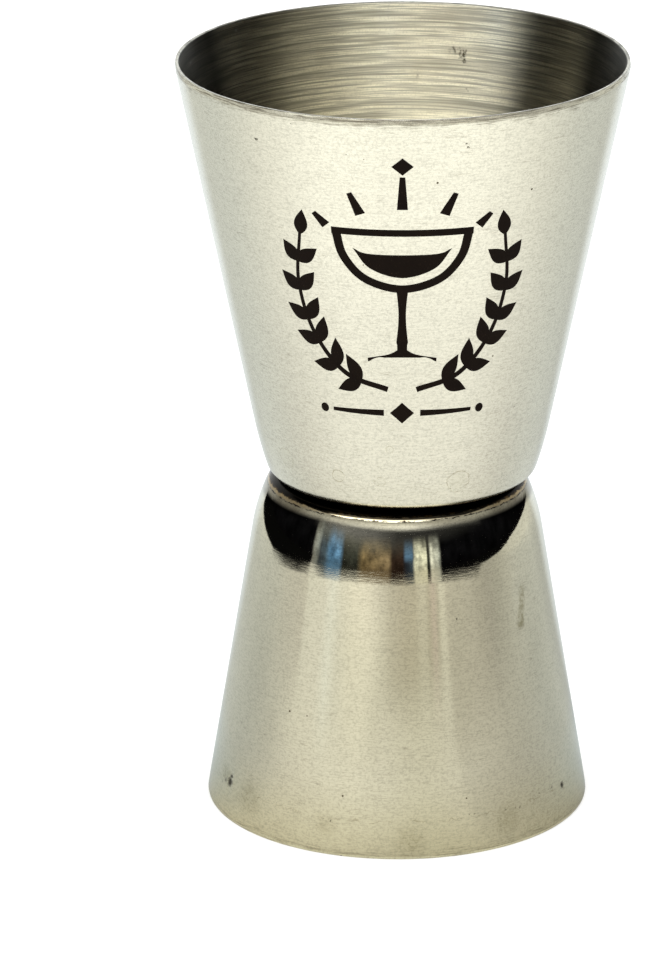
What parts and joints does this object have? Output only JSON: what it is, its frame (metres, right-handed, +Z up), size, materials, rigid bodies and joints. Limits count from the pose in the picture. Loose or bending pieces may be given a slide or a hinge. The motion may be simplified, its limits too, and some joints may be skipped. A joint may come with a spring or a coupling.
{
  "type": "bar jigger",
  "caption": "Double-ended spirit measure: two conical drawn steel cups spot-welded back to back, the large one on top.",
  "frame": {"origin": "on the large cup's axis, in the plane of the small cup's rim, which is the rim the jigger stands on", "axes": "+Z up along the cups' axes, towards the large cup's mouth; -Y is the marked front; the small cup's axis lies 0.47 mm to -X of the large cup's"},
  "size_m": [0.0458, 0.0458, 0.079],
  "materials": {
    "large_cup_steel": "fine satin, brushed round the axis, with a dark laser mark on the front",
    "small_cup_steel": "fine satin, brushed round the axis, brighter at the shoulder",
    "weld_steel": "dull heat-tinted weld metal"
  },
  "bodies": {
    "root": {"large_cup": "large_cup_steel", "small_cup": "small_cup_steel", "spot_welds": "weld_steel"}
  },
  "joints": []
}
